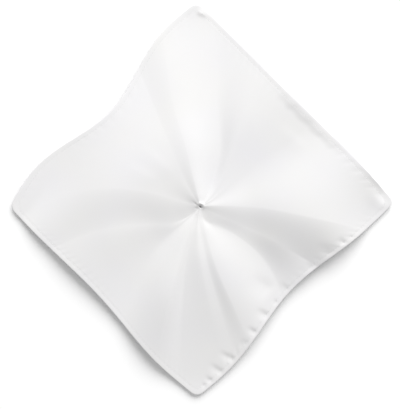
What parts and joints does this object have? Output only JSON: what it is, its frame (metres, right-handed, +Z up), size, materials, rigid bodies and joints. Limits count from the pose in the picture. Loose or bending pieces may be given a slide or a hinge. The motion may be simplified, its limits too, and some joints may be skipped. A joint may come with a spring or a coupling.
{
  "type": "pocket square",
  "caption": "Square satin pocket square with a narrow hem, lying open with its middle nipped into a small pit and soft folds running out to the corners.",
  "frame": {"origin": "on the table, under the middle of the cloth's outline", "axes": "+Z up off the table, +Y along the longer diagonal towards the corner that points away from the viewer, +X to the right-hand corner"},
  "size_m": [0.341, 0.351, 0.0166],
  "materials": {
    "white_satin": "white satin, softly glossy"
  },
  "bodies": {
    "root": {"pocket_square": "white_satin"}
  },
  "joints": []
}
